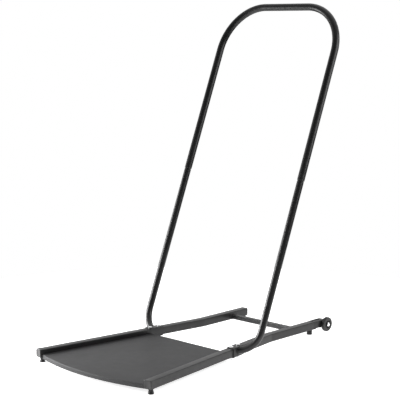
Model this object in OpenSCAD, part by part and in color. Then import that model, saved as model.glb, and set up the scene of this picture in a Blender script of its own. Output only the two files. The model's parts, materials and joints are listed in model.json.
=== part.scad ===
// Free-standing support frame: a low steel foot plate between two splayed square rails, with a
// tall U-shaped handle that leans to the rear. Millimetres, +Z up, +Y to the rear, +X to the right.
// Distances "from the front" are measured from the front end of the rails.

/* [Rails] */
// Outside width of the square rail tube
rail_size = 25; // [20:1:30]
// Wall thickness of the rail tube
rail_wall = 1.5; // [1:0.5:2.5]
// Height of the rails' underside above the floor
rail_bottom = 16; // [14:1:20]
// Half of the outside width at the front end
front_half_width = 248; // [235:1:260]
// Half of the outside width behind the bend
rear_half_width = 157; // [150:1:170]
// Distance of the rails' bend from the front
bend_from_front = 617; // [560:1:650]
// Overall length of a rail
rail_length = 832; // [800:1:850]
// Distance of the cross tube from the front
cross_from_front = 756.5; // [700:0.5:780]
// Outside width of the square cross tube
cross_size = 15; // [12:1:18]

/* [Foot plate] */
// Height of the plate's top face above the floor
plate_top = 26.5; // [24:0.5:30]
// Thickness of the sheet
plate_sheet = 2; // [1.5:0.5:3]
// Depth of the folded front and rear edges
plate_lip = 13; // [8:0.5:14]
// Distance of the plate's rear edge from the front
plate_rear = 405; // [340:1:410]
// How far the curved front edge stands out in front of the rails
plate_bulge = 28; // [20:1:40]
// Radius of the curved front edge
plate_radius = 750; // [650:10:900]

/* [Handle] */
// Lean of the handle from the vertical, in degrees
lean = 22.1; // [18:0.1:26]
// Half of the distance between the legs' centre lines
leg_half_width = 239; // [232:1:245]
// Where the legs' centre lines would meet the floor, from the front
leg_from_front = 434.5; // [425:0.5:445]
// Height of the centre line of the handle's top bar
handle_height = 1057.5; // [950:0.5:1100]
// Height of the joint between the legs and the upper handle
joint_height = 530; // [450:1:600]
// Outside diameter of the lower legs
leg_d = 21.4; // [20:0.1:22]
// Outside diameter of the upper handle
handle_d = 23; // [22.5:0.1:24]
// Bend radius of the handle's top corners
handle_bend = 150; // [100:5:160]
// Height where the bend at the foot of each leg begins
foot_start = 91.5; // [85:0.5:100]
// Radius of that bend
foot_bend = 73.5; // [60:0.5:80]
// How far that bend swings forward of straight inwards, in degrees
foot_roll = 18; // [10:1:25]

/* [Wheel] */
// Diameter of the wheel
wheel_d = 47; // [40:1:50]
// Width of the wheel
wheel_width = 12.4; // [10:0.2:16]
// Distance of the axle from the front
axle_from_front = 887; // [870:1:900]
// Height of the axle above the floor
axle_height = 26; // [25:0.5:30]

/* [Feet] */
// Distance of the levelling feet from the front
front_foot_from_front = 15; // [14:0.5:20]
// Distance of the rubber feet from the front
rear_foot_from_front = 822; // [780:1:822]
// Diameter of a foot
foot_d = 18; // [16:1:22]

/* [Hidden] */
$fn = 64;
over = 1;

// Rails
splay = atan((front_half_width - rear_half_width) / bend_from_front);
rail_mid = rail_bottom + rail_size / 2;
rail_top = rail_bottom + rail_size;
rail_corner = 2;
rear_centre_x = rear_half_width - rail_size / 2;
bend_y = bend_from_front - rail_size / 2 * tan(splay / 2);
rail_front_run = bend_from_front / cos(splay) - rail_size / 2 * tan(splay / 2);
cap_face = 2;
cap_plug = 5;
plug_size = rail_size - 2 * rail_wall;

// Clamps that hold the legs on the rails
clamp_from_front = 426;
clamp_from_bend = (bend_y - clamp_from_front) / cos(splay);
strap = 2.5;
strap_half_length = 28;
strap_flange = rail_size - 2;
clamp_bolt_offset = 18;
bolt_d = 6;
bolt_hole_d = 6.6;
bolt_head_d = 13;
bolt_head_h = 4;
bolt_length = 40;
washer_h = 1.2;
nut_flats = 10;
nut_h = 6;

// Levelling and rubber feet
stud_d = 8;
stud_hole_d = 8.12;
stud_top = 29;
insert_flats = 13;
insert_h = 6.5;
pad_h = 8;
stud_seat = 3;
hex_h = 4;
screw_d = 4.2;
screw_head_d = 8;
screw_head_h = 2.5;
screw_recess = 7;
screw_length = 19;

// Handle and legs, measured along a leg; the foot's bend runs on past the bracket, where it is cut
tube_wall = 1.5;
foot_angle = 85;
foot_top = [leg_half_width, leg_from_front + tan(lean) * foot_start, foot_start];
joint_run = (joint_height - foot_start) / cos(lean);
handle_run = (handle_height - joint_height) / cos(lean) - handle_bend;
spigot_length = 60;
spigot_d = handle_d - 2 * tube_wall - 0.2;
spigot_bore = spigot_d - 2 * tube_wall;
joint_centre = [0, leg_from_front + tan(lean) * joint_height, joint_height];

// Snap buttons, in the leg's own directions
button_d = 7.8;
button_hole_d = 7.9;
button_above_joint = 28;
button_proud = 2.4;
button_collar_d = 9.6;
button_collar = [5.7, 6.7];
clip_width = 5;
clip_sheet = 0.6;
clip_front = -7.9;
clip_length = 24;

// Wheel
wheel_gap = 0.3;
washer_outer_d = 16;
washer_sheet = 1.4;
axle_d = 8;
axle_hole_d = 8.1;
wheel_inner_x = rear_half_width + washer_sheet + wheel_gap;
wheel_centre_x = wheel_inner_x + wheel_width / 2;
axle_head_x = wheel_inner_x + wheel_width + wheel_gap;
axle_head_d = 13;
axle_head_h = 4.5;
axle_nut_flats = 13;
axle_nut_h = 8;
axle_end_x = rear_centre_x - rail_size / 2 - washer_sheet - axle_nut_h - 2;
hub_r = 15.5;
tyre_edge = 5;
bracket_plug = 28;
arch_radius = 60;
arch_rise = 2;
arch_from_front = 852;

// The origin is on the floor, midway between the plate's front edge and the wheel's rear
middle = (axle_from_front + wheel_d / 2 - plate_bulge) / 2;

frame_color = [0.17, 0.17, 0.18];
plate_color = [0.33, 0.33, 0.34];
plastic_color = [0.05, 0.05, 0.055];
zinc_color = [0.8, 0.81, 0.83];

// ---- placing ----

// Draws its children on the right, or mirrored on the left
module on_side(side) {
    if (side > 0) translate([0, -middle, 0]) children();
    else translate([0, -middle, 0]) mirror([1, 0, 0]) children();
}

module on_both_sides() {
    on_side(1) children();
    on_side(-1) children();
}

// On the splayed part of the right rail's centre line, at a distance in front of the bend:
// +Y runs along the rail to the rear, +X points outwards
module on_front_run(before_bend, height) {
    translate([rear_centre_x, bend_y, height])
        rotate([0, 0, splay])
            translate([0, -before_bend, 0])
                children();
}

// At a point of the right leg: +Z runs up the leg, +Y to the rear and down
module on_leg(point) {
    translate(point) rotate([-lean, 0, 0]) children();
}

// At the axle, with +Z pointing outwards to the right
module on_axle(x) {
    translate([x, axle_from_front - middle, axle_height]) rotate([0, 90, 0]) children();
}

// ---- shared shapes ----

module rounded_square(size, radius) {
    square([size - 2 * radius, size], center = true);
    square([size, size - 2 * radius], center = true);
    for (x = [-1, 1], y = [-1, 1])
        translate([x, y] * (size / 2 - radius)) circle(radius);
}

// Square tube along +Y, centred on X and Z
module bar(length, size, radius) {
    rotate([-90, 0, 0]) linear_extrude(length) rounded_square(size, radius);
}

module hex(flats, height) {
    cylinder(d = flats / cos(30), h = height, $fn = 6);
}

module ring(outer_d, inner_d, height) {
    difference() {
        cylinder(d = outer_d, h = height);
        translate([0, 0, -over]) cylinder(d = inner_d, h = height + 2 * over);
    }
}

// Plan of the right rail, or of its bore when inset by the wall
module rail_plan(inset, front_gap, rear_gap) {
    half = rail_size / 2 - inset;
    front = rail_front_run - front_gap;
    mitre = half * tan(splay / 2);
    along = [-sin(splay), cos(splay)];
    across = [cos(splay), sin(splay)];
    bend = [rear_centre_x, bend_y];
    end = rail_length - rear_gap;
    polygon([
        bend - front * along + half * across, bend + [half, mitre],
        [rear_centre_x + half, end], [rear_centre_x - half, end],
        bend - [half, mitre], bend - front * along - half * across
    ]);
}

// ---- floor frame ----

module rail() {
    color(frame_color)
    difference() {
        translate([0, 0, rail_bottom])
            linear_extrude(rail_size) rail_plan(0, cap_face, cap_face);
        translate([0, 0, rail_bottom + rail_wall])
            linear_extrude(rail_size - 2 * rail_wall) rail_plan(rail_wall, cap_face - over, cap_face - over);
        for (along = [-1, 1])
            on_front_run(clamp_from_bend + along * clamp_bolt_offset, rail_bottom - over)
                cylinder(d = bolt_hole_d, h = rail_size + 2 * over);
        on_front_run(rail_front_run - front_foot_from_front, rail_bottom - over)
            cylinder(d = stud_hole_d + 0.6, h = rail_wall + 2 * over);
        translate([rear_centre_x, rear_foot_from_front, rail_bottom - over])
            cylinder(d = screw_d, h = rail_wall + 2 * over);
    }
}

module cross_tube() {
    length = 2 * (rear_half_width - rail_size);
    color(frame_color)
    translate([-length / 2, cross_from_front - middle, rail_bottom + 9.5])
        rotate([0, 0, -90])
            difference() {
                bar(length, cross_size, 1.5);
                translate([0, -over, 0]) bar(length + 2 * over, cross_size - 2.4, 0.6);
            }
}

// Plan of the plate between the rails' inner faces, from one distance from the front to another
module between_rails(from, to) {
    inner = front_half_width - rail_size / cos(splay);
    slope = tan(splay);
    polygon([
        [inner - from * slope, from], [inner - to * slope, to],
        [-inner + to * slope, to], [-inner + from * slope, from]
    ]);
}

// A tray turned upside down: the sheet, with its front and rear edges folded down
module foot_plate() {
    arc_centre = plate_radius - plate_bulge;
    half = front_half_width;
    color(plate_color)
    translate([0, -middle, plate_top - plate_lip])
        difference() {
            intersection() {
                linear_extrude(plate_lip) between_rails(-plate_bulge - over, plate_rear);
                translate([0, arc_centre, 0]) cylinder(r = plate_radius, h = plate_lip, $fn = 180);
            }
            intersection() {
                translate([-half, -plate_bulge, -over])
                    cube([2 * half, plate_bulge + plate_rear - plate_sheet, plate_lip - plate_sheet + over]);
                translate([0, arc_centre, -2 * over])
                    cylinder(r = plate_radius - plate_sheet, h = plate_lip + 2 * over, $fn = 180);
            }
        }
}

// Plug with a flat face for the end of a rail; the plug points along +Y
module rail_cap() {
    color(plastic_color) {
        bar(cap_face, rail_size, rail_corner);
        difference() {
            translate([0, cap_face, 0]) bar(cap_plug, plug_size, 1);
            translate([0, cap_face, 0]) bar(cap_plug + over, plug_size - 4, 0.5);
        }
    }
}

module front_cap() {
    on_front_run(rail_front_run, rail_mid) rail_cap();
}

module rear_cap() {
    translate([rear_centre_x, rail_length, rail_mid]) rotate([0, 0, 180]) rail_cap();
}

// ---- legs and handle ----

// The leg as a solid of one diameter, from the bend at its foot up to the joint
module leg_path(diameter, up_to) {
    rotate([0, 0, foot_roll]) {
        cylinder(d = diameter, h = up_to);
        translate([-foot_bend, 0, 0])
            rotate([-90, 0, 0])
                rotate_extrude(angle = foot_angle)
                    translate([foot_bend, 0]) circle(d = diameter);
    }
}

module button_hole(length) {
    translate([0, 0, button_above_joint]) rotate([-90, 0, 0]) cylinder(d = button_hole_d, h = length);
}

module leg() {
    color(frame_color)
    difference() {
        on_leg(foot_top) {
            leg_path(leg_d, joint_run);
            translate([0, 0, joint_run]) cylinder(d = spigot_d, h = spigot_length);
        }
        on_leg(foot_top) {
            leg_path(leg_d - 2 * tube_wall, joint_run - 4);
            rotate([0, 0, foot_roll]) cylinder(d = spigot_bore, h = joint_run + spigot_length + over);
            translate([0, 0, joint_run]) button_hole(handle_d);
        }
        // the end is cut flush with the bracket
        on_front_run(clamp_from_bend, 0)
            translate([rail_size / 2 + strap - 100, -100, -100]) cube([100, 200, 300]);
    }
}

// Steel strap folded round the rail's outer side, with two flanges that the bolts go through
module leg_bracket() {
    height = rail_size + 2 * strap;
    color(frame_color)
    on_front_run(clamp_from_bend, rail_bottom - strap)
        difference() {
            translate([rail_size / 2 + strap - strap_flange - strap, -strap_half_length, 0])
                cube([strap_flange + strap, 2 * strap_half_length, height]);
            translate([-rail_size, -strap_half_length - over, strap])
                cube([1.5 * rail_size, 2 * strap_half_length + 2 * over, rail_size]);
            for (along = [-1, 1])
                translate([0, along * clamp_bolt_offset, -over])
                    cylinder(d = bolt_hole_d, h = height + 2 * over);
        }
}

// Draws its children at each clamp bolt, on the bracket's upper or lower face
module at_clamp_bolts(height) {
    on_both_sides()
        for (along = [-1, 1])
            on_front_run(clamp_from_bend + along * clamp_bolt_offset, height)
                children();
}

module clamp_bolts() {
    color(zinc_color)
    at_clamp_bolts(rail_top + strap) {
        translate([0, 0, -bolt_length]) cylinder(d = bolt_d, h = bolt_length);
        intersection() {
            cylinder(d = bolt_head_d, h = bolt_head_h);
            translate([0, 0, bolt_head_h - 10]) sphere(10);
        }
    }
}

module clamp_washers() {
    color(zinc_color)
    at_clamp_bolts(rail_bottom - strap - washer_h) ring(12, bolt_d + 0.4, washer_h);
}

module clamp_nuts() {
    color(zinc_color)
    at_clamp_bolts(rail_bottom - strap - washer_h - nut_h)
        difference() {
            hex(nut_flats, nut_h);
            translate([0, 0, -over]) cylinder(d = bolt_d, h = nut_h + 2 * over);
        }
}

// The upper handle's path as a solid of one diameter
module handle_path(diameter) {
    for (side = [-1, 1])
        translate([side * leg_half_width, 0, 0]) cylinder(d = diameter, h = handle_run);
    for (side = [0, 1])
        mirror([side, 0, 0])
            translate([leg_half_width - handle_bend, 0, handle_run])
                rotate([90, 0, 0])
                    rotate_extrude(angle = 90)
                        translate([handle_bend, 0]) circle(d = diameter);
    translate([handle_bend - leg_half_width, 0, handle_run + handle_bend])
        rotate([0, 90, 0])
            cylinder(d = diameter, h = 2 * (leg_half_width - handle_bend));
}

module handle_top() {
    color(frame_color)
    translate([0, -middle, 0])
        on_leg(joint_centre)
            difference() {
                handle_path(handle_d);
                handle_path(handle_d - 2 * tube_wall);
                for (side = [-1, 1])
                    translate([side * leg_half_width, 0, 0]) {
                        button_hole(handle_d);
                        translate([0, 0, -over])
                            cylinder(d = handle_d - 2 * tube_wall, h = 2 * over);
                    }
            }
}

// Draws its children at the right leg's button, in the leg's directions
module at_button() {
    on_leg(joint_centre + [leg_half_width, 0, 0])
        translate([0, 0, button_above_joint])
            children();
}

module snap_button() {
    tip = handle_d / 2 + button_proud;
    color(zinc_color)
    at_button()
        rotate([-90, 0, 0]) {
            intersection() {
                translate([0, 0, button_collar[1]]) cylinder(d = button_d, h = tip - button_collar[1]);
                translate([0, 0, tip - button_d]) sphere(button_d);
            }
            translate([0, 0, button_collar[0]])
                cylinder(d = button_collar_d, h = button_collar[1] - button_collar[0]);
        }
}

// Hairpin leaf spring that stands in the spigot behind the button
module snap_spring() {
    back = button_collar[0];
    centre = (back + clip_front) / 2;
    radius = (back - clip_front) / 2;
    color(zinc_color)
    at_button()
        rotate([90, 0, 90])
            translate([0, 0, -clip_width / 2])
                linear_extrude(clip_width) {
                    translate([back - clip_sheet, -clip_length / 2]) square([clip_sheet, clip_length * 0.7]);
                    translate([clip_front, -clip_length / 2]) square([clip_sheet, clip_length * 0.7]);
                    translate([centre, -clip_length / 2])
                        difference() {
                            circle(radius);
                            circle(radius - clip_sheet);
                            translate([-radius, 0]) square([2 * radius, radius]);
                        }
                }
}

// ---- feet ----

module at_front_foot(height) {
    on_front_run(rail_front_run - front_foot_from_front, height) children();
}

module foot_insert() {
    color(zinc_color)
    at_front_foot(rail_bottom + rail_wall)
        difference() {
            hex(insert_flats, insert_h);
            translate([0, 0, -over]) cylinder(d = stud_hole_d, h = insert_h + 2 * over);
        }
}

module foot_stud() {
    color(plastic_color)
    at_front_foot(0) {
        translate([0, 0, stud_seat]) cylinder(d = stud_d, h = stud_top - stud_seat);
        translate([0, 0, pad_h]) hex(insert_flats, hex_h);
    }
}

module foot_pad() {
    color(plastic_color)
    at_front_foot(0)
        difference() {
            rotate_extrude()
                polygon([
                    [0, 0], [foot_d / 2 - 0.8, 0], [foot_d / 2, 0.8], [foot_d / 2, 3],
                    [foot_d / 2 - 1.5, pad_h], [0, pad_h]
                ]);
            translate([0, 0, stud_seat]) cylinder(d = stud_d, h = pad_h);
        }
}

module rear_foot() {
    color(plastic_color)
    translate([rear_centre_x, rear_foot_from_front, 0])
        difference() {
            rotate_extrude()
                polygon([
                    [0, 0], [foot_d / 2 - 1, 0], [foot_d / 2 - 0.3, 0.8],
                    [foot_d / 2, rail_bottom], [0, rail_bottom]
                ]);
            translate([0, 0, -over]) cylinder(d = screw_d, h = rail_bottom + 2 * over);
            translate([0, 0, -over]) cylinder(d = screw_head_d + 1, h = screw_recess + over);
        }
}

module rear_foot_screws() {
    color(zinc_color)
    on_both_sides()
        translate([rear_centre_x, rear_foot_from_front, screw_recess - screw_head_h]) {
            cylinder(d = screw_head_d, h = screw_head_h);
            cylinder(d = screw_d, h = screw_length - screw_head_h);
        }
}

// ---- wheel ----

// Moulded end piece of the right rail that carries the axle; drawn from its side
module wheel_bracket() {
    start = rail_length - cap_face;
    color(plastic_color)
    translate([rear_centre_x, -middle, 0])
        difference() {
            union() {
                rotate([90, 0, 90])
                    translate([0, 0, -rail_size / 2])
                        linear_extrude(rail_size)
                            difference() {
                                union() {
                                    translate([start, rail_bottom])
                                        square([axle_from_front - start, rail_size]);
                                    translate([axle_from_front, rail_mid]) circle(rail_size / 2);
                                }
                                translate([arch_from_front, rail_bottom + arch_rise - arch_radius])
                                    circle(arch_radius);
                            }
                translate([0, start - bracket_plug, rail_mid]) bar(bracket_plug, plug_size, 1);
            }
            translate([-rail_size, axle_from_front, axle_height])
                rotate([0, 90, 0])
                    cylinder(d = axle_d, h = 2 * rail_size);
            translate([0, start - bracket_plug - over, rail_mid]) bar(bracket_plug - 4, plug_size - 5, 1);
            translate([0, rear_foot_from_front, rail_bottom]) cylinder(d = screw_d, h = rail_size / 2);
        }
}

module wheel_tyre() {
    flat = wheel_width / 2 - tyre_edge;
    edge_r = wheel_d / 2 - tyre_edge;
    color(plastic_color)
    on_axle(wheel_centre_x)
        rotate_extrude($fn = 96)
            intersection() {
                union() {
                    translate([0, -wheel_width / 2]) square([edge_r, wheel_width]);
                    translate([0, -flat]) square([wheel_d / 2, 2 * flat]);
                    for (end = [-1, 1]) translate([edge_r, end * flat]) circle(tyre_edge);
                }
                translate([hub_r, -wheel_width]) square([wheel_d, 2 * wheel_width]);
            }
}

module wheel_hub() {
    recess = 2.5;
    recess_inner = 7.5;
    recess_outer = 13;
    color(plastic_color)
    on_axle(wheel_inner_x)
        difference() {
            cylinder(r = hub_r, h = wheel_width, $fn = 96);
            translate([0, 0, -over]) cylinder(d = axle_hole_d, h = wheel_width + 2 * over);
            for (face = [-over, wheel_width - recess])
                translate([0, 0, face]) ring(2 * recess_outer, 2 * recess_inner, recess + over);
        }
}

module axle_bolt() {
    color(zinc_color) {
        on_axle(axle_end_x) cylinder(d = axle_d, h = axle_head_x - axle_end_x);
        on_axle(axle_head_x)
            intersection() {
                cylinder(d = axle_head_d, h = axle_head_h);
                translate([0, 0, axle_head_h - 11]) sphere(11);
            }
    }
}

module axle_washers() {
    color(zinc_color)
    for (x = [rear_half_width, rear_half_width - rail_size - washer_sheet])
        on_axle(x) ring(washer_outer_d, axle_d, washer_sheet);
}

module axle_nut() {
    color(zinc_color)
    on_axle(rear_half_width - rail_size - washer_sheet - axle_nut_h)
        difference() {
            hex(axle_nut_flats, axle_nut_h);
            translate([0, 0, -over]) cylinder(d = axle_d, h = axle_nut_h + 2 * over);
        }
}

on_side(1) rail();  // right_rail
on_side(-1) rail();  // left_rail
cross_tube();
foot_plate();
on_side(1) leg();  // right_leg
on_side(-1) leg();  // left_leg
on_side(1) leg_bracket();  // right_leg_bracket
on_side(-1) leg_bracket();  // left_leg_bracket
clamp_bolts();
clamp_washers();
clamp_nuts();
handle_top();
on_side(1) snap_button();  // right_snap_button
on_side(-1) snap_button();  // left_snap_button
on_side(1) snap_spring();  // right_snap_spring
on_side(-1) snap_spring();  // left_snap_spring
on_side(1) front_cap();  // right_front_cap
on_side(-1) front_cap();  // left_front_cap
on_side(-1) rear_cap();  // left_rear_cap
on_side(1) foot_insert();  // right_foot_insert
on_side(-1) foot_insert();  // left_foot_insert
on_side(1) foot_stud();  // right_foot_stud
on_side(-1) foot_stud();  // left_foot_stud
on_side(1) foot_pad();  // right_foot_pad
on_side(-1) foot_pad();  // left_foot_pad
on_side(1) rear_foot();  // right_rear_foot
on_side(-1) rear_foot();  // left_rear_foot
rear_foot_screws();
wheel_bracket();
wheel_hub();
wheel_tyre();
axle_bolt();
axle_washers();
axle_nut();
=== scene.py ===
import json
import math

import bmesh
import bpy
from mathutils import Matrix, Vector


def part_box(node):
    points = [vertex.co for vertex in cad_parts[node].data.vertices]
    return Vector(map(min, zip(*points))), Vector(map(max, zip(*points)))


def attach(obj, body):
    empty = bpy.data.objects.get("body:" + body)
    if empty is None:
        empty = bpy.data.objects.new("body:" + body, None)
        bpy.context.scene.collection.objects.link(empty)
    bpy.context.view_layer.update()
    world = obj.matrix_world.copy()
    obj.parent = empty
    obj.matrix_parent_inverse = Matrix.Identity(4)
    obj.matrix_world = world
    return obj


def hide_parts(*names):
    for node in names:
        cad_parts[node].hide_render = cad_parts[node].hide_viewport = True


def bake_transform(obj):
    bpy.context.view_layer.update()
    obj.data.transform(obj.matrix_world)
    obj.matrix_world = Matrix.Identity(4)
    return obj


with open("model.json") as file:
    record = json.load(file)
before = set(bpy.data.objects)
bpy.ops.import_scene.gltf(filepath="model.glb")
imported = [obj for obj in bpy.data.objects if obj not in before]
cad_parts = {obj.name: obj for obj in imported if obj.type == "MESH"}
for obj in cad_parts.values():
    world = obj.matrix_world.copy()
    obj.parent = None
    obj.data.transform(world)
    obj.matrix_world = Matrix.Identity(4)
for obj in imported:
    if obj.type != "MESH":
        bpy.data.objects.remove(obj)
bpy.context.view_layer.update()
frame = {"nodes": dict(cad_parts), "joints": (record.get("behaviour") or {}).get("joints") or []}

# All lengths are in metres, in the CAD frame: +X to the wheel's side, +Y to the rear, +Z up.
# Shapes are drawn for the right side, and mirrored for the left.

# ---- sizes of details ----
RAIL_CORNER = 0.0022
RAIL_WALL = 0.0015
RAIL_BEND = 0.06
CROSS_CORNER = 0.0018
CROSS_WALL = 0.0012
SHEET = 0.002
SHEET_BEND = 0.0032
PLATE_RADIUS = 0.75
HANDLE_R = 0.0115
LEG_R = 0.0107
SPIGOT_R = 0.0099
SPIGOT_LENGTH = 0.06
TUBE_BORE = 0.0084
HANDLE_BORE = 0.01
HANDLE_BEND = 0.15
JOINT_CHAMFER = 0.0009
JOINT_GAP = 0.0028
FOOT_START = 0.0915
FOOT_BEND = 0.0735
FOOT_ROLL = math.radians(18)
STRAP_BEND = 0.0032
STRAP_CORNER = 0.005
BOLT_HEAD_R = 0.0065
BOLT_HEAD_H = 0.004
BOLT_R = 0.003
NUT_FLATS = 0.010
BOLT_PITCH = 0.001
CAP_FACE = 0.002
STUD_R = 0.004
STUD_HOLE_R = 0.0044
STUD_PITCH = 0.00125
HEX_FLATS = 0.013
HEX_HEIGHT = 0.004
HEX_TURN = 0.4
REAR_SCREW_R = 0.0021
REAR_SCREW_PITCH = 0.0014
REAR_SCREW_SEAT = 0.0070
AXLE_R = 0.004
AXLE_HEAD_H = 0.0045
AXLE_WASHER = 0.0014
SPOKES = 6
BUTTON_R = 0.0039
BUTTON_LENGTH = 0.0139
BUTTON_HOLE_R = 0.00395
NUT_CHAMFER_RUN = 1.73
SHARP_ANGLE = math.radians(38)
SIDES = (("right", 1), ("left", -1))

UP = Vector((0, 0, 1))
TO_RIGHT = Vector((1, 0, 0))


# ---- places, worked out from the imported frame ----

def centre(node):
    low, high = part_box(node)
    return (low + high) / 2


rail_low, rail_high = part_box("right_rail")
rail_size = rail_high.z - rail_low.z
rail_half = rail_size / 2
rail_mid = (rail_low.z + rail_high.z) / 2
rear_x = centre("right_rear_foot").x
foot = centre("right_foot_pad")
foot.z = rail_mid

# the foot and the front clamp bolt both lie on the right rail's centre line
bolts_low, bolts_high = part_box("clamp_bolts")
front_bolt = Vector((bolts_high.x - BOLT_HEAD_R, bolts_low.y + BOLT_HEAD_R, rail_mid))
along = (front_bolt - foot).normalized()
outward = Vector((along.y, -along.x, 0))
bend_point = foot + along * ((rear_x - foot.x) / along.x)
rear_bolt = foot + along * ((bolts_high.y - BOLT_HEAD_R - foot.y) / along.y)
clamp = (front_bolt + rear_bolt) / 2
front_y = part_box("right_front_cap")[0].y - rail_half * along.x
front_end = foot + along * ((front_y - foot.y) / along.y)

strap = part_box("right_leg_bracket")[1].z - rail_high.z
strap_face = clamp + outward * (rail_half + strap)

press = next(j for j in frame["joints"] if j["name"] == "right_button_press")["axis"]
leg_up = Vector((0, press[2], -press[1])).normalized()
leg_back = Vector((0, -press[1], -press[2])).normalized()
handle_low, handle_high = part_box("handle_top")
leg_x = handle_high.x - HANDLE_R
top_bar = Vector((0, handle_high.y - HANDLE_R, handle_high.z - HANDLE_R))
joint_z = handle_low.z + HANDLE_R * leg_up.y


def on_leg_line(z):
    """The right leg's centre line at a height above the floor."""
    return Vector((leg_x, top_bar.y - (top_bar.z - z) * leg_up.y / leg_up.z, z))


# ---- mesh building: a shape is a list of vertices and a list of faces ----

def loft(rings, closed=False):
    """Joins rings of equal length; the ends are capped, or joined to each other when closed."""
    count = len(rings[0])
    vertices = [v for ring in rings for v in ring]
    faces = []
    pairs = len(rings) if closed else len(rings) - 1
    for i in range(pairs):
        a, b = i * count, ((i + 1) % len(rings)) * count
        for k in range(count):
            n = (k + 1) % count
            faces.append((a + k, a + n, b + n, b + k))
    if not closed:
        faces.append(tuple(range(count - 1, -1, -1)))
        last = (len(rings) - 1) * count
        faces.append(tuple(last + k for k in range(count)))
    return vertices, faces


def placed(shape, matrix):
    return [matrix @ v for v in shape[0]], shape[1]


def mirrored(shape):
    return [Vector((-v.x, v.y, v.z)) for v in shape[0]], shape[1]


def for_side(shape, sign):
    """The shape itself on the right (sign 1), and its mirror image on the left (sign -1)."""
    return shape if sign > 0 else mirrored(shape)


def at(origin, z_axis=UP, x_axis=TO_RIGHT):
    """The matrix that stands a shape drawn about Z on origin, with its Z along z_axis."""
    z = z_axis.normalized()
    x = (x_axis - z * x_axis.dot(z)).normalized()
    m = Matrix((x, z.cross(x), z)).transposed().to_4x4()
    m.translation = origin
    return m


def circle(radius, z=0.0, count=48):
    turns = [2 * math.pi * k / count for k in range(count)]
    return [Vector((radius * math.cos(a), radius * math.sin(a), z)) for a in turns]


def hex_radius(flats, angle):
    sixth = math.pi / 3
    return flats / 2 / math.cos((angle % sixth) - sixth / 2)


def hexagon(flats, z, limit=1.0, count=48):
    """A hexagon, cut back to a circle of radius limit where it is wider."""
    ring = []
    for k in range(count):
        a = 2 * math.pi * k / count
        r = min(hex_radius(flats, a), limit)
        ring.append(Vector((r * math.cos(a), r * math.sin(a), z)))
    return ring


def lathe(profile, closed=False, count=48):
    """Turns (radius, height) points about Z."""
    return loft([circle(r, z, count) for r, z in profile], closed)


def arc_points(cx, cy, radius, start, end, steps):
    """Points of an arc in a plane, with angles in degrees."""
    turns = [math.radians(start + (end - start) * k / steps) for k in range(steps + 1)]
    return [(cx + radius * math.cos(a), cy + radius * math.sin(a)) for a in turns]


def rounded_rectangle(width, depth, corner, steps):
    reach_x, reach_y = width / 2 - corner, depth / 2 - corner
    points = []
    for k, (sx, sy) in enumerate(((1, 1), (-1, 1), (-1, -1), (1, -1))):
        points += arc_points(sx * reach_x, sy * reach_y, corner, 90 * k, 90 * k + 90, steps)
    return points


def rounded_square(size, corner, steps=5):
    return rounded_rectangle(size, size, corner, steps)


def round_section(radius, count=48):
    return [(v.x, v.y) for v in circle(radius, 0, count)]


def filleted(corners, radius, steps=14):
    """A path of (point, direction) through the corners, with round bends."""
    path = [(corners[0], (corners[1] - corners[0]).normalized())]
    for before, corner, after in zip(corners, corners[1:], corners[2:]):
        t0, t1 = (corner - before).normalized(), (after - corner).normalized()
        angle = t0.angle(t1)
        start = corner - t0 * radius * math.tan(angle / 2)
        axis = t0.cross(t1).normalized()
        path += turned(start, t0, axis, radius, angle, steps)
    path.append((corners[-1], (corners[-1] - corners[-2]).normalized()))
    return path


def turned(start, direction, axis, radius, angle, steps):
    """The (point, direction) pairs of an arc that turns about axis."""
    middle = start + axis.cross(direction) * radius
    pairs = []
    for k in range(steps + 1):
        turn = Matrix.Rotation(angle * k / steps, 3, axis)
        pairs.append((middle + turn @ (start - middle), turn @ direction))
    return pairs


def ring_at(station, normal, section):
    point, direction = station
    side = direction.cross(normal).normalized()
    up = side.cross(direction)
    return [point + side * a + up * b for a, b in section]


def pipe(path, normal, outer, inner):
    """A hollow tube along a path; outer and inner hold one section for each station."""
    rings = [ring_at(s, normal, o) for s, o in zip(path, outer)]
    rings += [ring_at(s, normal, i) for s, i in zip(path[::-1], inner[::-1])]
    return loft(rings, closed=True)


def eased_ends(path, amount):
    """Adds a station just inside each end, for an eased edge."""
    (p0, t0), (p1, t1) = path[0], path[-1]
    return [path[0], (p0 + t0 * amount, t0)] + path[1:-1] + [(p1 - t1 * amount, t1), path[-1]]


def square_tube(path, size, corner, wall, ease=0.0004):
    stations = eased_ends(path, ease)
    full = rounded_square(size, corner)
    eased = rounded_square(size - 2 * ease, corner)
    bore = rounded_square(size - 2 * wall, max(corner - wall, 0.0004))
    outer = [eased] + [full] * (len(stations) - 2) + [eased]
    return pipe(stations, UP, outer, [bore] * len(stations))


def bead(points, radius, ripple=0.16, closed=True, count=10):
    """A weld bead along points, with the ripples of its puddles."""
    skew = Vector((0.31, 0.47, 0.83))  # no bead here runs along it
    rings = []
    total = len(points)
    for i, point in enumerate(points):
        after = points[(i + 1) % total] if closed or i < total - 1 else point
        before = points[i - 1] if closed or i else point
        direction = (after - before).normalized()
        side = (skew - direction * direction.dot(skew)).normalized()
        up = direction.cross(side)
        r = radius * (1 + ripple * math.sin(i * 2.1))
        if not closed:
            r *= math.sin(math.pi * (i + 0.6) / (total + 0.2)) ** 0.4
        turns = [2 * math.pi * k / count for k in range(count)]
        rings.append([point + (side * math.cos(a) + up * math.sin(a)) * r for a in turns])
    return loft(rings, closed)


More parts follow.
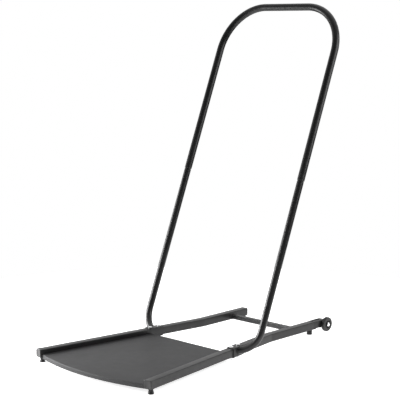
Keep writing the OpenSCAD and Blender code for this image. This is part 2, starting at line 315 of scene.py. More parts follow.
def thread(radius, low, high, pitch, count=28, rings_per_turn=8):
    """A screw thread with crests at radius and eased ends."""
    depth = 0.55 * pitch
    steps = int((high - low) / pitch * rings_per_turn)
    rings = []
    for i in range(steps + 1):
        z = low + (high - low) * i / steps
        ease = min(1.0, min(z - low, high - z) / (0.8 * pitch))
        ring = []
        for k in range(count):
            phase = (z / pitch - k / count) % 1
            root = 1 - abs(2 * phase - 1)
            r = radius - depth * max(root, 1 - ease) * 0.9 - 0.00005
            a = 2 * math.pi * k / count
            ring.append(Vector((r * math.cos(a), r * math.sin(a), z)))
        rings.append(ring)
    return loft(rings)


def nut(flats, height, bore, collar=0.0):
    """A chamfered hexagon nut, with a round locking collar on its lower end when asked."""
    rings = []
    face = 0.47 * flats
    heights = [0, 0.0003, 0.0006, 0.0010]
    if collar:
        rings += [circle(bore, 0), circle(face - 0.0008, 0), circle(face - 0.0003, 0.0004)]
        rings.append(circle(face - 0.0003, collar))
    else:
        rings.append(circle(bore, 0))
    rings += [hexagon(flats, collar + h, face + h * NUT_CHAMFER_RUN) for h in heights]
    rings += [hexagon(flats, height - h, face + h * NUT_CHAMFER_RUN)
              for h in heights[::-1]]
    rings.append(circle(bore, height))
    return loft(rings, closed=True)


def washer(bore, radius, thick, ease=0.0003):
    """A flat washer that stands on z = 0, with its outer edges eased."""
    return lathe([(bore, 0), (radius - ease, 0), (radius, ease), (radius, thick - ease),
                  (radius - ease, thick), (bore, thick)], closed=True)


def button_head(radius, height, socket=0.0):
    """A domed screw head that stands on z = 0, with a hexagon socket when asked."""
    profile = [(radius - 0.0003, 0), (radius, 0.0003), (radius, 0.38 * height)]
    crown = 1.5 * radius
    for k in range(1, 9):
        r = radius * (1 - k / 8.6)
        drop = crown - math.sqrt(crown * crown - r * r)
        profile.append((r, height - drop))
    if not socket:
        return lathe(profile)
    rim = hex_radius(socket, 0) * 1.08
    rings = [circle(r, z) for r, z in profile if r > rim]
    drop = crown - math.sqrt(crown * crown - rim * rim)
    rings += [circle(rim, height - drop), hexagon(socket, height - drop - 0.0002)]
    rings.append(hexagon(socket, height * 0.4))
    return loft(rings)


def mesh_of(name, shapes):
    vertices, faces = [], []
    for shape in shapes:
        first = len(vertices)
        vertices += shape[0]
        faces += [tuple(first + k for k in face) for face in shape[1]]
    mesh = bpy.data.meshes.new(name)
    mesh.from_pydata(vertices, [], faces)
    work = bmesh.new()
    work.from_mesh(mesh)
    bmesh.ops.recalc_face_normals(work, faces=work.faces)
    work.to_mesh(mesh)
    work.free()
    return mesh


def apply_modifiers(piece):
    bpy.context.view_layer.update()
    seen = piece.evaluated_get(bpy.context.evaluated_depsgraph_get())
    mesh = bpy.data.meshes.new_from_object(seen)
    piece.modifiers.clear()
    piece.data = mesh


def bevelled(piece, width, angle=40, segments=3):
    modifier = piece.modifiers.new("bevel", "BEVEL")
    modifier.width = width
    modifier.segments = segments
    modifier.limit_method = "ANGLE"
    modifier.angle_limit = math.radians(angle)
    modifier.harden_normals = False
    apply_modifiers(piece)


def cut(piece, shape):
    """Takes a closed shape out of the piece."""
    tool = bpy.data.objects.new("tool", mesh_of("tool", [shape]))
    bpy.context.scene.collection.objects.link(tool)
    modifier = piece.modifiers.new("cut", "BOOLEAN")
    modifier.object = tool
    modifier.solver = "EXACT"
    apply_modifiers(piece)
    bpy.data.objects.remove(tool)


def make(name, shapes, material, replaces=(), body="frame", bevel=0, cuts=()):
    """One finished piece: its mesh, material, body, and the CAD nodes that it stands for."""
    piece = bpy.data.objects.new(name, mesh_of(name, shapes))
    bpy.context.scene.collection.objects.link(piece)
    for shape in cuts:
        cut(piece, shape)
    if bevel:
        bevelled(piece, bevel)
    piece.data.materials.clear()
    piece.data.materials.append(materials[material])
    piece.data.shade_smooth()
    piece.data.set_sharp_from_angle(angle=SHARP_ANGLE)
    if body:
        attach(piece, body)
    if replaces:
        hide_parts(*replaces)
    return piece


# ---- materials ----

def surface(name, roughness, metallic=0.0):
    material = bpy.data.materials.new(name)
    material.use_nodes = True
    shader = material.node_tree.nodes["Principled BSDF"]
    shader.inputs["Metallic"].default_value = metallic
    shader.inputs["Roughness"].default_value = roughness
    return material, shader


def noise(tree, scale, detail=3.0, stretch=(1, 1, 1)):
    """Noise in the object's own coordinates, in metres, so scale is in cycles per metre."""
    place = tree.nodes.new("ShaderNodeTexCoord")
    size = tree.nodes.new("ShaderNodeMapping")
    size.inputs["Scale"].default_value = [scale * s for s in stretch]
    texture = tree.nodes.new("ShaderNodeTexNoise")
    texture.inputs["Scale"].default_value = 1.0
    texture.inputs["Detail"].default_value = detail
    tree.links.new(place.outputs["Object"], size.inputs["Vector"])
    tree.links.new(size.outputs["Vector"], texture.inputs["Vector"])
    return texture.outputs["Fac"]


def spread(tree, value, low, high, start=0.3, end=0.7):
    """Maps a noise value to the range low to high."""
    node = tree.nodes.new("ShaderNodeMapRange")
    node.inputs["From Min"].default_value = start
    node.inputs["From Max"].default_value = end
    node.inputs["To Min"].default_value = low
    node.inputs["To Max"].default_value = high
    tree.links.new(value, node.inputs["Value"])
    return node.outputs["Result"]


def tint(tree, value, dark, light):
    node = tree.nodes.new("ShaderNodeMix")
    node.data_type = "RGBA"
    node.inputs["A"].default_value = (*dark, 1)
    node.inputs["B"].default_value = (*light, 1)
    tree.links.new(value, node.inputs["Factor"])
    return node.outputs["Result"]


def bumped(tree, shader, heights):
    """Stacks (value, strength, distance) bumps on the shader's normal."""
    normal = None
    for value, strength, distance in heights:
        node = tree.nodes.new("ShaderNodeBump")
        node.inputs["Strength"].default_value = strength
        node.inputs["Distance"].default_value = distance
        tree.links.new(value, node.inputs["Height"])
        if normal is not None:
            tree.links.new(normal, node.inputs["Normal"])
        normal = node.outputs["Normal"]
    tree.links.new(normal, shader.inputs["Normal"])


def edge_wear(tree, low=0.53, high=0.62):
    """From 0 on flats to 1 on sharp outer edges, broken up by noise."""
    geometry = tree.nodes.new("ShaderNodeNewGeometry")
    edges = spread(tree, geometry.outputs["Pointiness"], 0.0, 1.0, low, high)
    patches = spread(tree, noise(tree, 60, 4), 0.0, 1.0, 0.5, 0.66)
    node = tree.nodes.new("ShaderNodeMath")
    node.operation = "MULTIPLY"
    tree.links.new(edges, node.inputs[0])
    tree.links.new(patches, node.inputs[1])
    return node.outputs["Value"]


def powder_coat(name, dark, light, rough_low, rough_high, grain=900, waves=0.05, gloss=0.35):
    """Textured powder coat; grain is in cycles per metre, and waves is the slow bumps' strength."""
    worn_gain = 2.2
    material, shader = surface(name, rough_low)
    shader.inputs["Specular IOR Level"].default_value = gloss
    tree = material.node_tree
    shade = spread(tree, noise(tree, 14, 4), 0.0, 1.0)
    worn = tree.nodes.new("ShaderNodeMix")
    worn.data_type = "RGBA"
    worn.inputs["B"].default_value = (*(c * worn_gain for c in light), 1)
    tree.links.new(tint(tree, shade, dark, light), worn.inputs["A"])
    tree.links.new(edge_wear(tree), worn.inputs["Factor"])
    tree.links.new(worn.outputs["Result"], shader.inputs["Base Color"])
    tree.links.new(spread(tree, noise(tree, 45, 5), rough_low, rough_high), shader.inputs["Roughness"])
    bumped(tree, shader, [
        (noise(tree, 160, 2), waves, 0.0003),
        (noise(tree, grain, 2), 0.16, 0.00012),
    ])
    return material


def moulded(name, dark, light, roughness, grain, strength):
    material, shader = surface(name, roughness)
    tree = material.node_tree
    shade = spread(tree, noise(tree, 70, 4), 0, 1)
    tree.links.new(tint(tree, shade, dark, light), shader.inputs["Base Color"])
    tree.links.new(spread(tree, noise(tree, 260, 3), roughness - 0.06, roughness + 0.08),
                   shader.inputs["Roughness"])
    bumped(tree, shader, [(noise(tree, grain, 3), strength, 0.00015)])
    return material


def zinc_plate(name):
    material, shader = surface(name, 0.24, 1.0)
    tree = material.node_tree
    tone = spread(tree, noise(tree, 220, 4), 0, 1)
    color = tint(tree, tone, (0.80, 0.81, 0.83), (0.92, 0.92, 0.91))
    tree.links.new(color, shader.inputs["Base Color"])
    tree.links.new(spread(tree, noise(tree, 500, 4), 0.16, 0.34), shader.inputs["Roughness"])
    bumped(tree, shader, [(noise(tree, 1400, 2), 0.1, 0.00005)])
    return material


materials = {
    "frame": powder_coat("frame", (0.012, 0.012, 0.0125), (0.019, 0.019, 0.0195), 0.30, 0.38),
    "plate": powder_coat("plate", (0.044, 0.044, 0.045), (0.049, 0.049, 0.050), 0.52, 0.56, 1100,
                          0.015, 0.12),
    "plastic": moulded("plastic", (0.010, 0.010, 0.0105), (0.017, 0.017, 0.0175), 0.45, 1500, 0.2),
    "rubber": moulded("rubber", (0.006, 0.006, 0.006), (0.012, 0.012, 0.012), 0.62, 1100, 0.3),
    "tyre": moulded("tyre", (0.012, 0.012, 0.012), (0.022, 0.022, 0.022), 0.5, 900, 0.25),
    "zinc": zinc_plate("zinc"),
}


# ---- floor frame ----

def rail_shape():
    rear_end = Vector((rear_x, rail_high.y, rail_mid))
    path = filleted([front_end + along * CAP_FACE, bend_point, rear_end], RAIL_BEND, 10)
    return square_tube(path, rail_size, RAIL_CORNER, RAIL_WALL)


def make_rails():
    hole = lathe([(STUD_HOLE_R, -0.004), (STUD_HOLE_R, 0.004)], count=32)
    hole = placed(hole, at(Vector((foot.x, foot.y, rail_low.z))))
    for side, sign in SIDES:
        make(side + "_rail_tube", [for_side(rail_shape(), sign)], "frame", [side + "_rail"],
             cuts=[for_side(hole, sign)])


def make_cross_tube():
    low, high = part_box("cross_tube")
    size, middle = high.z - low.z, (low + high) / 2
    ends = [Vector((x, middle.y, middle.z)) for x in (low.x, high.x)]
    path = filleted(ends, 0)
    tube = square_tube(path, size, CROSS_CORNER, CROSS_WALL, 0.0002)
    make("cross_tube_bar", [tube], "frame", ["cross_tube"])
    beads = []
    for x, step in ((low.x, 0.0006), (high.x, -0.0006)):
        outline = rounded_square(size + 0.0006, CROSS_CORNER, 3)
        points = []
        for (a0, b0), (a1, b1) in zip(outline, outline[1:] + outline[:1]):
            length = math.hypot(a1 - a0, b1 - b0)
            parts = max(1, int(length / 0.001))
            points += [Vector((x + step, middle.y + a0 + (a1 - a0) * k / parts,
                               middle.z + b0 + (b1 - b0) * k / parts)) for k in range(parts)]
        beads.append(bead(points, 0.0013))
    make("cross_tube_welds", beads, "frame")


plate_low, plate_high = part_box("foot_plate")
plate_arc_y = plate_low.y + PLATE_RADIUS


def plate_half_width(y):
    """Half of the plate's width between the rails' inner faces."""
    inner = front_end - outward * rail_half
    return inner.x + (y - inner.y) * along.x / along.y


def plate_section(share):
    """The folded sheet's outline at one share of its width, from -1 to 1, as a ring."""
    y = plate_low.y
    for _ in range(12):
        x = share * plate_half_width(y)
        y = plate_arc_y - math.sqrt(PLATE_RADIUS ** 2 - x * x)
    front, rear, top, lip = y, plate_high.y, plate_high.z, plate_low.z
    outer = [(front, lip)]
    outer += arc_points(front + SHEET_BEND, top - SHEET_BEND, SHEET_BEND, 180, 90, 6)
    span = rear - front - 2 * SHEET_BEND
    outer += [(front + SHEET_BEND + span * k / 8, top) for k in range(1, 8)]
    outer += arc_points(rear - SHEET_BEND, top - SHEET_BEND, SHEET_BEND, 90, 0, 6)
    outer.append((rear, lip))
    bend = SHEET_BEND - SHEET
    inner = [(rear - SHEET, lip)]
    inner += arc_points(rear - SHEET_BEND, top - SHEET_BEND, bend, 0, 90, 6)
    inner += arc_points(front + SHEET_BEND, top - SHEET_BEND, bend, 90, 180, 6)
    inner.append((front + SHEET, lip))
    return [Vector((share * plate_half_width(a), a, b)) for a, b in outer + inner]


def make_foot_plate():
    stations = 40
    shares = [-1 + 2 * k / stations for k in range(stations + 1)]
    make("foot_plate_sheet", [loft([plate_section(s) for s in shares])], "plate", ["foot_plate"],
         bevel=0.0004)
    stitches = []
    for k in range(5):
        y = front_end.y + 0.03 + 0.085 * k
        middle = Vector((plate_half_width(y) - 0.0008, y, plate_high.z - SHEET - 0.0009))
        points = [middle + along * (0.0011 * i - 0.0143) for i in range(26)]
        stitch = bead(points, 0.0018, closed=False)
        stitches += [stitch, mirrored(stitch)]
    make("foot_plate_welds", stitches, "frame")


def cap_shape(face, inward):
    """A plug with a rounded face; face is the middle of its outer face."""
    plug = rail_size - 2 * RAIL_WALL
    steps = [
        (rail_size - 0.0072, 0.0003, 0.0010), (rail_size - 0.0060, 0.0, 0.0012),
        (rail_size - 0.0024, 0.0, 0.0020), (rail_size - 0.0010, 0.0003, 0.0024),
        (rail_size - 0.0002, 0.0009, 0.0024), (rail_size, 0.0014, 0.0022),
        (rail_size, CAP_FACE - 0.0002, 0.0022), (rail_size - 0.0004, CAP_FACE, 0.0020),
        (plug, CAP_FACE, 0.0012), (plug, CAP_FACE + 0.0042, 0.0012),
        (plug - 0.0012, CAP_FACE + 0.0050, 0.0012),
    ]
    rings = []
    for size, depth, corner in steps:
        rings.append(ring_at((face + inward * depth, inward), UP, rounded_square(size, corner, 4)))
    return loft(rings)


def make_caps():
    front = cap_shape(front_end, along)
    rear_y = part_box("left_rear_cap")[1].y
    rear = cap_shape(Vector((-rear_x, rear_y, rail_mid)), Vector((0, -1, 0)))
    make("right_front_plug", [front], "plastic", ["right_front_cap"])
    make("left_front_plug", [mirrored(front)], "plastic", ["left_front_cap"])
    make("left_rear_plug", [rear], "plastic", ["left_rear_cap"])


# ---- legs, handle and clamps ----

def handle_shape():
    left, right = Vector((-leg_x, 0, 0)), Vector((leg_x, 0, 0))
    end = on_leg_line(joint_z)
    corners = [end, right + top_bar, left + top_bar, Vector((-end.x, end.y, end.z))]
    path = eased_ends(filleted(corners, HANDLE_BEND, 24), JOINT_CHAMFER)
    full, eased = round_section(HANDLE_R), round_section(HANDLE_R - JOINT_CHAMFER)
    bore = round_section(HANDLE_BORE)
    outer = [eased] + [full] * (len(path) - 2) + [eased]
    return pipe(path, leg_back, outer, [bore] * len(path))


def leg_path():
    """The right leg's stations from the spigot's tip down to the bracket, and their outer radii."""
    joint, bend_start = on_leg_line(joint_z), on_leg_line(FOOT_START)
    tip = joint + leg_up * SPIGOT_LENGTH
    down = -leg_up
    shoulder = joint + down * JOINT_GAP
    stations = [
        (tip, SPIGOT_R - 0.001), (tip + down * 0.001, SPIGOT_R), (shoulder, SPIGOT_R),
        (shoulder, LEG_R - 0.0004), (shoulder + down * 0.0004, LEG_R),
    ]
    path = [(point, down) for point, _ in stations]
    radii = [radius for _, radius in stations]
    sideways = Vector((math.cos(FOOT_ROLL), 0, 0)) + leg_back * math.sin(FOOT_ROLL)
    axis = leg_up.cross(sideways).normalized()
    steps = 60
    for point, direction in turned(bend_start, down, axis, FOOT_BEND, math.radians(85), steps):
        if (point - strap_face).dot(outward) < 0.004:
            break
        path.append((point, direction))
        radii.append(LEG_R)
    return path, radii, axis


def leg_shapes():
    """The tube, and the weld bead round its foot."""
    path, radii, axis = leg_path()
    outer = [ring_at(s, axis, round_section(r)) for s, r in zip(path, radii)]
    inner = [ring_at(s, axis, round_section(TUBE_BORE)) for s in path]
    direction = path[-1][1]

    def on_strap(ring):
        slope = direction.dot(outward)
        return [v - direction * ((v - strap_face).dot(outward) / slope) for v in ring]

    outer.append(on_strap(outer[-1]))
    inner.append(on_strap(inner[-1]))
    tube = loft(outer + inner[::-1], closed=True)
    weld = [v + outward * 0.0005 for v in outer[-1]]
    middle = sum(weld, Vector()) / len(weld)
    weld = [middle + (v - middle) * 1.03 for v in weld]
    return tube, bead(weld, 0.0019)


def button_base():
    """Where the right button's line crosses the leg's centre line."""
    line = centre("right_snap_button")
    base = on_leg_line(line.z)
    return base - leg_up * (base - line).dot(leg_up)


def make_legs():
    hole = lathe([(BUTTON_HOLE_R, -0.001), (BUTTON_HOLE_R, 0.02)], count=32)
    hole = placed(hole, at(button_base(), leg_back))
    make("upper_handle", [handle_shape()], "frame", ["handle_top"], cuts=[hole, mirrored(hole)])
    tube, weld = leg_shapes()
    for side, sign in SIDES:
        make(side + "_lower_leg", [for_side(tube, sign)], "frame", [side + "_leg"],
             cuts=[for_side(hole, sign)])
        make(side + "_leg_weld", [for_side(weld, sign)], "frame")


def strap_shape():
    """The bracket's folded section, swept along the rail."""
    low, high = rail_low.z - strap, rail_high.z + strap
    reach = 0.0120
    web = rail_half + strap
    outer = [(-reach, high)]
    outer += arc_points(web - STRAP_BEND, high - STRAP_BEND, STRAP_BEND, 90, 0, 6)
    outer += arc_points(web - STRAP_BEND, low + STRAP_BEND, STRAP_BEND, 0, -90, 6)
    outer.append((-reach, low))
    bend = STRAP_BEND - strap
    inner = [(-reach, low + strap)]
    inner += arc_points(web - STRAP_BEND, low + STRAP_BEND, bend, -90, 0, 4)
    inner += arc_points(web - STRAP_BEND, high - STRAP_BEND, bend, 0, 90, 4)
    inner.append((-reach, high - strap))
    half_length = 0.028
    rings = []
    for offset in (-half_length, half_length):
        middle = clamp + along * offset
        rings.append([Vector((middle.x, middle.y, 0)) + outward * a + Vector((0, 0, b))
                      for a, b in outer + inner])
    return loft(rings)


def round_corners(mesh, radius):
    """Rounds the flanges' free corners, whose edges stand upright at the ends of the section."""
    work = bmesh.new()
    work.from_mesh(mesh)
    tips = []
    for edge in work.edges:
        a, b = (v.co for v in edge.verts)
        upright = abs((a - b).normalized().z) > 0.99 and (a - b).length < 2 * strap
        offset = ((a + b) / 2 - clamp).dot(outward)
        if upright and offset < -0.01:
            tips.append(edge)
    bmesh.ops.bevel(work, geom=tips, offset=radius, segments=6, profile=0.5, affect="EDGES")
    work.to_mesh(mesh)
    work.free()


def make_brackets():
    mesh = mesh_of("bracket", [strap_shape()])
    round_corners(mesh, STRAP_CORNER)
    rounded = ([v.co.copy() for v in mesh.vertices], [tuple(p.vertices) for p in mesh.polygons])
    bpy.data.meshes.remove(mesh)
    for side, sign in SIDES:
        make(side + "_leg_strap", [for_side(rounded, sign)], "frame", [side + "_leg_bracket"],
             bevel=0.0005)


def make_clamp_fasteners():
    bolts_z = bolts_high.z - BOLT_HEAD_H
    washer_low, washer_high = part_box("clamp_washers")
    nut_low, nut_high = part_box("clamp_nuts")
    shank_r = BOLT_R - 0.0002
    shank = lathe([(shank_r, nut_high.z + 0.001), (shank_r, bolts_z + 0.0002)], count=28)
    screw = thread(BOLT_R, bolts_low.z, nut_high.z + 0.002, BOLT_PITCH)
    head = placed(button_head(BOLT_HEAD_R, BOLT_HEAD_H, 0.004), Matrix.Translation((0, 0, bolts_z)))
    flat = washer(0.0032, 0.006, washer_high.z - washer_low.z)
    lock = nut(NUT_FLATS, nut_high.z - nut_low.z, BOLT_R - 0.0001, 0.0014)
    bolts, washers, nuts = [], [], []
    for place in (front_bolt, rear_bolt):
        base = Vector((place.x, place.y, 0))
        for target, shape, z in ((bolts, shank, 0), (bolts, screw, 0), (bolts, head, 0),
                                 (washers, flat, washer_low.z), (nuts, lock, nut_low.z)):
            shape = placed(shape, Matrix.Translation(base + Vector((0, 0, z))))
            target += [shape, mirrored(shape)]
    make("clamp_screws", bolts, "zinc", ["clamp_bolts"])
    make("clamp_washer_set", washers, "zinc", ["clamp_washers"])
    make("clamp_lock_nuts", nuts, "zinc", ["clamp_nuts"])


def make_springs():
    """The springs behind the buttons: each a U-bent base strip and a straight rear leaf."""
    base = button_base()

    def place(back, up):
        return base + leg_back * back + leg_up * up

    middle, radius, low, high = -0.0011, 0.0065, -0.012, 0.0048
    thick, half, ease = 0.0003, 0.0025, 0.0001
    section = [
        (thick, ease - half), (thick, half - ease), (thick - ease, half), (ease - thick, half),
        (-thick, half - ease), (-thick, ease - half), (ease - thick, -half), (thick - ease, -half),
    ]
    base_path = [(place(middle - radius, up), -leg_up) for up in (high, 0, low)]
    base_path += turned(base_path[-1][0], -leg_up, (-leg_up).cross(leg_back), radius, math.pi, 16)[1:]
    leaf_path = [(place(middle + radius, low + (high - low) * k / 14), leg_up) for k in range(15)]
    front, rear = (loft([ring_at(s, TO_RIGHT, section) for s in path])
                   for path in (base_path, leaf_path))
    for side, sign in SIDES:
        make(side + "_spring_base", [for_side(front, sign)], "zinc", [side + "_snap_spring"])
        leaf = make(side + "_spring_leaf", [for_side(rear, sign)], "zinc", body=None)
        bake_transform(leaf)


def make_buttons():
    """The domed pins that lock the upper handle on the legs."""
    dome_start, dome_rise = BUTTON_LENGTH - 0.0016, 0.0015
    profile = [(0.0044, 0.0057), (0.0048, 0.0060), (0.0048, 0.0067), (0.0038, 0.0067),
               (BUTTON_R, 0.0070), (BUTTON_R, dome_start)]
    for a in map(math.radians, range(15, 90, 12)):
        profile.append((BUTTON_R * math.cos(a), dome_start + dome_rise * math.sin(a)))
    shape = placed(lathe(profile), at(button_base(), leg_back))
    for side, sign in SIDES:
        make(side + "_lock_button", [for_side(shape, sign)], "zinc", [side + "_snap_button"],
             body=side + "_button")


# ---- feet ----

def make_front_feet():
    pad_low, pad_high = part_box("right_foot_pad")
    stud_low, stud_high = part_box("right_foot_stud")
    r = (pad_high.x - pad_low.x) / 2
    height = pad_high.z
    pad = [
        (STUD_R + 0.0002, height), (STUD_R + 0.0002, stud_low.z - 0.0002),
        (0.0003, stud_low.z - 0.0002), (0.0003, 0.0004), (r - 0.0030, 0.0004), (r - 0.0028, 0.0),
        (r - 0.0009, 0.0), (r - 0.0003, 0.0003), (r, 0.0009), (r, 0.0030), (r - 0.0003, 0.0035),
        (r - 0.0010, 0.0037), (r - 0.0011, 0.0041),
        (r - 0.0007, 0.0044), (r - 0.0013, 0.0068), (r - 0.0018, 0.0076), (r - 0.0027, height),
    ]
    screw = thread(STUD_R, stud_low.z, stud_high.z, STUD_PITCH)
    collar = nut(HEX_FLATS, HEX_HEIGHT, STUD_R - 0.0006)
    place = Vector((foot.x, foot.y, 0))
    on_pad = Matrix.Translation(place + Vector((0, 0, height))) @ Matrix.Rotation(HEX_TURN, 4, "Z")
    pad_shape = placed(lathe(pad, closed=True), Matrix.Translation(place))
    stud = [placed(screw, Matrix.Translation(place)), placed(collar, on_pad)]
    for side, sign in SIDES:
        body = side + "_front_foot"
        make(side + "_levelling_pad", [for_side(pad_shape, sign)], "plastic", [side + "_foot_pad"],
             body=body)
        make(side + "_levelling_stud", [for_side(s, sign) for s in stud], "plastic",
             [side + "_foot_stud"], body=body)


def make_rear_feet():
    low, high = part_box("right_rear_foot")
    r, height = (high.x - low.x) / 2, high.z
    place = Vector((rear_x, (low.y + high.y) / 2, 0))
    screw_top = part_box("rear_foot_screws")[1].z
    profile = [
        (0.0046, 0.0004), (0.0049, 0.0), (r - 0.0016, 0.0), (r - 0.0006, 0.0005), (r - 0.0003, 0.0012),
        (r - 0.0002, 0.0060), (r - 0.0007, 0.0064), (r - 0.0007, 0.0070), (r - 0.0001, 0.0074),
        (r, height - 0.0008), (r - 0.0006, height), (REAR_SCREW_R, height),
        (REAR_SCREW_R, REAR_SCREW_SEAT), (0.0046, REAR_SCREW_SEAT),
    ]
    bumper = placed(lathe(profile, closed=True), Matrix.Translation(place))
    head = placed(button_head(0.004, 0.0025, 0.0025), Matrix.Rotation(math.pi, 4, "X"))
    head = placed(head, Matrix.Translation(place + Vector((0, 0, REAR_SCREW_SEAT))))
    screw = thread(REAR_SCREW_R, 0.0068, screw_top, REAR_SCREW_PITCH, 20)
    screw = placed(screw, Matrix.Translation(place))
    make("right_rubber_foot", [bumper], "rubber", ["right_rear_foot"])
    make("left_rubber_foot", [mirrored(bumper)], "rubber", ["left_rear_foot"])
    both = [head, mirrored(head), screw, mirrored(screw)]
    make("rubber_foot_screws", both, "zinc", ["rear_foot_screws"])


# ---- wheel ----

wheel_low, wheel_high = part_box("wheel_tyre")
hub_low, hub_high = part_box("wheel_hub")
axle = (wheel_low + wheel_high) / 2
wheel_r = (wheel_high.z - wheel_low.z) / 2
wheel_width = wheel_high.x - wheel_low.x
hub_r = (hub_high.z - hub_low.z) / 2


def on_axle(shape, x):
    return placed(shape, at(Vector((x, axle.y, axle.z)), TO_RIGHT, UP))


def make_tyre():
    half, edge = wheel_width / 2, 0.0036
    profile = [(hub_r, -half + 0.0004), (hub_r + 0.0008, -half), (wheel_r - edge - 0.0012, -half)]
    profile += [(wheel_r - edge + x, -half + edge + y) for x, y in arc_points(0, 0, edge, -90, -12, 6)]
    floor_r = wheel_r - 0.0007
    for groove in (-0.0017, 0.0017):
        profile += [(wheel_r, groove - 0.00055), (floor_r, groove - 0.0003),
                    (floor_r, groove + 0.0003), (wheel_r, groove + 0.00055)]
    profile += [(wheel_r - edge + x, half - edge + y) for x, y in arc_points(0, 0, edge, 12, 90, 6)]
    profile += [(wheel_r - edge - 0.0012, half), (hub_r + 0.0008, half), (hub_r, half - 0.0004)]
    make("tyre_ring", [on_axle(lathe(profile, closed=True, count=96), axle.x)], "tyre", ["wheel_tyre"],
         body="wheel")


def make_hub():
    half, recess = wheel_width / 2, 0.0030
    inner, outer, bore = 0.0072, 0.0132, AXLE_R + 0.00005
    face = [
        (bore + 0.0003, half), (inner - 0.0006, half), (inner, half - 0.0006),
        (inner + 0.0003, half - recess), (outer - 0.0003, half - recess), (outer, half - 0.0006),
        (outer + 0.0005, half), (hub_r - 0.0004, half), (hub_r, half - 0.0004),
    ]
    profile = [(bore, half - 0.0003)] + face
    profile += [(r, -z) for r, z in face[::-1]] + [(bore, -half + 0.0003)]
    shapes = [lathe(profile, closed=True, count=96)]
    for end in (-1, 1):
        for k in range(SPOKES):
            turn = Matrix.Rotation(2 * math.pi * k / SPOKES, 4, "Z")
            rings = []
            for r, wide in ((inner - 0.0004, 0.0011), (outer + 0.0002, 0.0008)):
                high, low = end * (half - 0.0007), end * (half - recess - 0.0002)
                ease = 0.0003
                rings.append([turn @ Vector((r, w, z)) for w, z in (
                    (-wide, low), (wide, low), (wide - ease, high), (-wide + ease, high))])
            shapes.append(loft(rings))
    make("wheel_core", [on_axle(s, axle.x) for s in shapes], "plastic", ["wheel_hub"], body="wheel")


def make_wheel_bracket():
    tongue_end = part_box("wheel_bracket")[0].y
    start, size = rail_high.y, rail_size
    arch_r, arch_rise, arch_y = 0.060, 0.002, start + 0.022
    reach = math.sqrt(arch_r ** 2 - (arch_r - arch_rise) ** 2)
    turn = math.degrees(math.asin(reach / arch_r))
    outline = [(start, rail_low.z)]
    outline += arc_points(arch_y, rail_low.z + arch_rise - arch_r, arch_r, 90 + turn, 90 - turn, 12)
    outline += arc_points(axle.y, rail_mid, size / 2, -90, 90, 28)
    outline.append((start, rail_high.z))
    rings = [[Vector((x, y, z)) for y, z in outline] for x in (rear_x - size / 2, rear_x + size / 2)]
    axle_hole = placed(lathe([(AXLE_R, -0.03), (AXLE_R, 0.03)], count=40),
                       at(Vector((rear_x, axle.y, axle.z)), TO_RIGHT))
    slots = []
    for y0, y1 in ((start + 0.006, start + 0.020), (start + 0.024, start + 0.046)):
        x, y = rear_x - 0.0042, (y0 + y1) / 2
        plan = rounded_rectangle(0.0104, y1 - y0, 0.0016, 4)
        slots.append(loft([[Vector((x + a, y + b, z)) for a, b in plan]
                           for z in (rail_high.z - 0.0055, rail_high.z + 0.004)]))
    plug = rail_size - 2 * RAIL_WALL - 0.0002
    tongue_path = [Vector((rear_x, y, rail_mid)) for y in (start + 0.001, tongue_end)]
    tongue = square_tube(filleted(tongue_path, 0), plug, 0.0012, 0.0025)
    make("wheel_carrier", [loft(rings)], "plastic", ["wheel_bracket"], bevel=0.0011,
         cuts=[axle_hole] + slots)
    make("wheel_carrier_tongue", [tongue], "plastic")


def make_axle():
    low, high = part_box("axle_bolt")
    head_r, head_base = (high.z - low.z) / 2, high.x - AXLE_HEAD_H
    nut_low, nut_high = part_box("axle_nut")
    washer_low, washer_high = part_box("axle_washers")
    flat = washer(AXLE_R, 0.008, AXLE_WASHER)
    shank_start, shank_r = nut_high.x - 0.002, AXLE_R - 0.00002
    shank = lathe([(shank_r, 0), (shank_r, head_base + 0.0001 - shank_start)])
    make("axle_screw", [
        on_axle(button_head(head_r, AXLE_HEAD_H), head_base),
        on_axle(shank, shank_start),
        on_axle(thread(AXLE_R, 0, nut_high.x - low.x, STUD_PITCH), low.x),
    ], "zinc", ["axle_bolt"])
    places = (washer_low.x, washer_high.x - AXLE_WASHER)
    make("axle_washer_pair", [on_axle(flat, x) for x in places], "zinc", ["axle_washers"])
    lock = nut(HEX_FLATS, nut_high.x - nut_low.x, AXLE_R - 0.0002, 0.002)
    make("axle_lock_nut", [on_axle(lock, nut_low.x)], "zinc", ["axle_nut"])


def dress_hidden_nodes():
    """The CAD pieces that stay as they are, inside the tubes."""
    for name in ("right_foot_insert", "left_foot_insert"):
        node = frame["nodes"][name]
        node.data.materials.clear()
        node.data.materials.append(materials["zinc"])


make_rails()
make_cross_tube()
make_foot_plate()
make_caps()
make_legs()
make_brackets()
make_clamp_fasteners()
make_springs()
make_buttons()
make_front_feet()
make_rear_feet()
make_tyre()
make_hub()
make_wheel_bracket()
make_axle()
dress_hidden_nodes()


# ---- studio: floor, light and camera ----

FLOOR_RADIUS = 1.3
FLOOR_GLOW = 0.8
WORLD_DARK = 0.10
WORLD_BRIGHT = 0.85
CAMERA_LENS = 108.96
CAMERA_PLACE = (2.5399, -2.65845, 1.0)
CAMERA_DOWN = 8.22
CAMERA_TURN = 43.54
# name, place, target, width, height, watts, spread in degrees
LIGHTS = (
    ("left", (-1.8, -0.65, 0.47), (0, 0, 0.47), 1.2, 0.94, 31, 180),
    ("right", (1.6, 0.9, 1.4), (0, 0.2, 1.2), 1.3, 1.5, 24, 180),
    ("near", (-0.95, -1.0, 0.45), (0, -0.25, 0.0), 0.5, 0.5, 4, 60),
    ("top", (-0.2, 0.8, 3.4), (0, 0, 0.4), 3.0, 3.0, 15, 180),
)


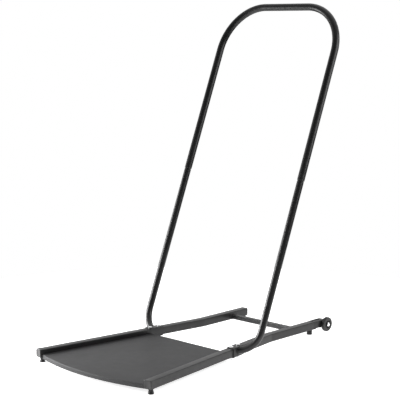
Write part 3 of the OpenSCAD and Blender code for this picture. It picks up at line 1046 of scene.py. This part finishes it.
def make_floor():
    ring = circle(FLOOR_RADIUS, count=96)
    mesh = bpy.data.meshes.new("floor")
    mesh.from_pydata(ring, [], [tuple(range(len(ring)))])
    floor = bpy.data.objects.new("floor", mesh)
    bpy.context.scene.collection.objects.link(floor)
    material, shader = surface("floor", 0.9)
    shader.inputs["Base Color"].default_value = (0.93, 0.93, 0.93, 1)
    shader.inputs["Specular IOR Level"].default_value = 0.1
    shader.inputs["Emission Color"].default_value = (1, 1, 1, 1)
    shader.inputs["Emission Strength"].default_value = FLOOR_GLOW
    mesh.materials.append(material)


def make_world(darkest, brightest, dark_side):
    """Light that is dim from dark_side and below, and bright elsewhere. The camera sees plain white."""
    world = bpy.data.worlds.new("studio")
    bpy.context.scene.world = world
    world.use_nodes = True
    tree = world.node_tree
    light = tree.nodes["Background"]
    place = tree.nodes.new("ShaderNodeTexCoord")
    facing = tree.nodes.new("ShaderNodeVectorMath")
    facing.operation = "DOT_PRODUCT"
    facing.inputs[1].default_value = dark_side.normalized()
    tree.links.new(place.outputs["Generated"], facing.inputs[0])
    strength = spread(tree, facing.outputs["Value"], brightest, darkest, -0.4, 0.4)
    height = tree.nodes.new("ShaderNodeSeparateXYZ")
    tree.links.new(place.outputs["Generated"], height.inputs["Vector"])
    above = spread(tree, height.outputs["Z"], darkest, 1.0, -0.02, 0.12)
    both = tree.nodes.new("ShaderNodeMath")
    both.operation = "MULTIPLY"
    tree.links.new(strength, both.inputs[0])
    tree.links.new(above, both.inputs[1])
    tree.links.new(both.outputs["Value"], light.inputs["Strength"])
    light.inputs["Color"].default_value = (1, 1, 1, 1)
    white = tree.nodes.new("ShaderNodeBackground")
    white.inputs["Color"].default_value = (1, 1, 1, 1)
    white.inputs["Strength"].default_value = 1.0
    mix = tree.nodes.new("ShaderNodeMixShader")
    path = tree.nodes.new("ShaderNodeLightPath")
    tree.links.new(path.outputs["Is Camera Ray"], mix.inputs["Fac"])
    tree.links.new(light.outputs["Background"], mix.inputs[1])
    tree.links.new(white.outputs["Background"], mix.inputs[2])
    tree.links.new(mix.outputs["Shader"], tree.nodes["World Output"].inputs["Surface"])


def softbox(name, place, target, width, height, power, spread_angle):
    """A rectangular light that the camera doesn't see."""
    place, target = Vector(place), Vector(target)
    lamp = bpy.data.lights.new(name, "AREA")
    lamp.shape = "RECTANGLE"
    lamp.size, lamp.size_y = width, height
    lamp.energy = power
    lamp.spread = math.radians(spread_angle)
    holder = bpy.data.objects.new(name, lamp)
    bpy.context.scene.collection.objects.link(holder)
    holder.location = place
    holder.rotation_euler = (target - place).to_track_quat("-Z", "Y").to_euler()
    holder.visible_camera = False


def make_camera():
    camera = bpy.data.cameras.new("camera")
    camera.lens = CAMERA_LENS
    camera.sensor_width = 36
    camera.clip_end = 100
    holder = bpy.data.objects.new("camera", camera)
    bpy.context.scene.collection.objects.link(holder)
    holder.location = CAMERA_PLACE
    holder.rotation_euler = (math.radians(90 - CAMERA_DOWN), 0, math.radians(CAMERA_TURN))
    bpy.context.scene.camera = holder
    return holder


camera = make_camera()
make_floor()
make_world(WORLD_DARK, WORLD_BRIGHT, Vector((camera.location.x, camera.location.y, 0.6)))
for light in LIGHTS:
    softbox(*light)

bpy.context.scene.view_settings.view_transform = "Standard"
bpy.context.scene.view_settings.look = "None"
